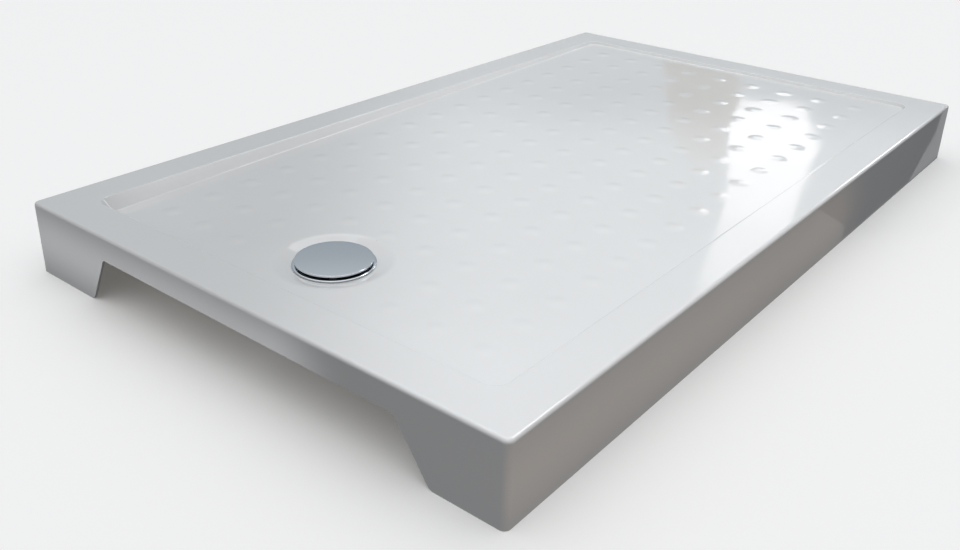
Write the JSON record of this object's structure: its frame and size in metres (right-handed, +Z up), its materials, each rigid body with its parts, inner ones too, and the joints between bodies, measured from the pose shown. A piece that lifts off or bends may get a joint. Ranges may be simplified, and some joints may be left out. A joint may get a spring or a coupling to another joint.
{
  "type": "shower tray",
  "caption": "Rectangular white acrylic shower tray: flat rim, shallow sloping floor with anti-slip dots, round chrome drain cover, skirt with a pipe notch, levelling feet.",
  "frame": {"origin": "on the floor, under the centre of the tray's outline", "axes": "+X along the tray's length, away from the drain end; +Y towards the rear wall; +Z up"},
  "size_m": [1.5, 0.9, 0.115],
  "materials": {
    "acrylic": "glossy white sanitary acrylic",
    "laminate": "rough sprayed glass-fibre laminate",
    "board": "pressed chipboard",
    "timber": "planed softwood",
    "zinc": "zinc-plated steel",
    "chrome": "polished chrome plate",
    "rubber": "black rubber",
    "white_plastic": "moulded white polypropylene",
    "grey_plastic": "moulded grey polypropylene",
    "black_plastic": "moulded black polypropylene"
  },
  "bodies": {
    "tray": {"tray_shell": "acrylic", "fibreglass_backing": "laminate", "base_board": "board", "bearer_front": "timber", "bearer_rear": "timber", "bearer_screws": "zinc", "foot_plate_screws": "zinc", "foot_lock_nuts": "zinc", "drain_flange": "chrome", "flange_seal": "rubber", "trap_seal": "rubber", "union_seal": "rubber", "pipe_seal": "rubber", "trap_body": "white_plastic", "outlet_tube": "white_plastic", "union_nut": "white_plastic", "pipe_nut": "white_plastic", "foot_plate_front_left": "black_plastic", "foot_plate_front_middle": "black_plastic", "foot_plate_front_right": "black_plastic", "foot_plate_rear_left": "black_plastic", "foot_plate_rear_middle": "black_plastic", "foot_plate_rear_right": "black_plastic"},
    "cover": {"drain_cover": "chrome", "cover_carrier": "grey_plastic"},
    "cup": {"strainer_cup": "grey_plastic", "cup_seal": "rubber"},
    "pad_front_left": {"foot_pad_front_left": "black_plastic"},
    "stem_front_left": {"foot_stem_front_left": "zinc"},
    "pad_front_middle": {"foot_pad_front_middle": "black_plastic"},
    "stem_front_middle": {"foot_stem_front_middle": "zinc"},
    "pad_front_right": {"foot_pad_front_right": "black_plastic"},
    "stem_front_right": {"foot_stem_front_right": "zinc"},
    "pad_rear_left": {"foot_pad_rear_left": "black_plastic"},
    "stem_rear_left": {"foot_stem_rear_left": "zinc"},
    "pad_rear_middle": {"foot_pad_rear_middle": "black_plastic"},
    "stem_rear_middle": {"foot_stem_rear_middle": "zinc"},
    "pad_rear_right": {"foot_pad_rear_right": "black_plastic"},
    "stem_rear_right": {"foot_stem_rear_right": "zinc"}
  },
  "joints": [
    {"name": "cover_lift", "type": "slide", "parent": "tray", "child": "cover", "axis": [0, 0, 1], "range_m": [0, 0.18]},
    {"name": "cup_lift", "type": "slide", "parent": "tray", "child": "cup", "axis": [0, 0, 1], "range_m": [0, 0.09]},
    {"name": "foot_front_left_height", "type": "slide", "parent": "tray", "child": "pad_front_left", "axis": [0, 0, 1], "range_m": [-0.012, 0.008]},
    {"name": "foot_front_left_turn", "type": "hinge", "parent": "pad_front_left", "child": "stem_front_left", "pos_m": [-0.62, -0.25, 0.008], "axis": [0, 0, 1], "range_deg": [-2880, 1920]},
    {"name": "foot_front_middle_height", "type": "slide", "parent": "tray", "child": "pad_front_middle", "axis": [0, 0, 1], "range_m": [-0.012, 0.008]},
    {"name": "foot_front_middle_turn", "type": "hinge", "parent": "pad_front_middle", "child": "stem_front_middle", "pos_m": [0, -0.25, 0.008], "axis": [0, 0, 1], "range_deg": [-2880, 1920]},
    {"name": "foot_front_right_height", "type": "slide", "parent": "tray", "child": "pad_front_right", "axis": [0, 0, 1], "range_m": [-0.012, 0.008]},
    {"name": "foot_front_right_turn", "type": "hinge", "parent": "pad_front_right", "child": "stem_front_right", "pos_m": [0.62, -0.25, 0.008], "axis": [0, 0, 1], "range_deg": [-2880, 1920]},
    {"name": "foot_rear_left_height", "type": "slide", "parent": "tray", "child": "pad_rear_left", "axis": [0, 0, 1], "range_m": [-0.012, 0.008]},
    {"name": "foot_rear_left_turn", "type": "hinge", "parent": "pad_rear_left", "child": "stem_rear_left", "pos_m": [-0.62, 0.25, 0.008], "axis": [0, 0, 1], "range_deg": [-2880, 1920]},
    {"name": "foot_rear_middle_height", "type": "slide", "parent": "tray", "child": "pad_rear_middle", "axis": [0, 0, 1], "range_m": [-0.012, 0.008]},
    {"name": "foot_rear_middle_turn", "type": "hinge", "parent": "pad_rear_middle", "child": "stem_rear_middle", "pos_m": [0, 0.25, 0.008], "axis": [0, 0, 1], "range_deg": [-2880, 1920]},
    {"name": "foot_rear_right_height", "type": "slide", "parent": "tray", "child": "pad_rear_right", "axis": [0, 0, 1], "range_m": [-0.012, 0.008]},
    {"name": "foot_rear_right_turn", "type": "hinge", "parent": "pad_rear_right", "child": "stem_rear_right", "pos_m": [0.62, 0.25, 0.008], "axis": [0, 0, 1], "range_deg": [-2880, 1920]}
  ],
  "couplings": [
    {"joint": "cup_lift", "follows": "cover_lift", "ratio": 0.5},
    {"joint": "foot_front_left_turn", "follows": "foot_front_left_height", "rad_per_m": 4188.8},
    {"joint": "foot_front_middle_turn", "follows": "foot_front_middle_height", "rad_per_m": 4188.8},
    {"joint": "foot_front_right_turn", "follows": "foot_front_right_height", "rad_per_m": 4188.8},
    {"joint": "foot_rear_left_turn", "follows": "foot_rear_left_height", "rad_per_m": 4188.8},
    {"joint": "foot_rear_middle_turn", "follows": "foot_rear_middle_height", "rad_per_m": 4188.8},
    {"joint": "foot_rear_right_turn", "follows": "foot_rear_right_height", "rad_per_m": 4188.8}
  ]
}
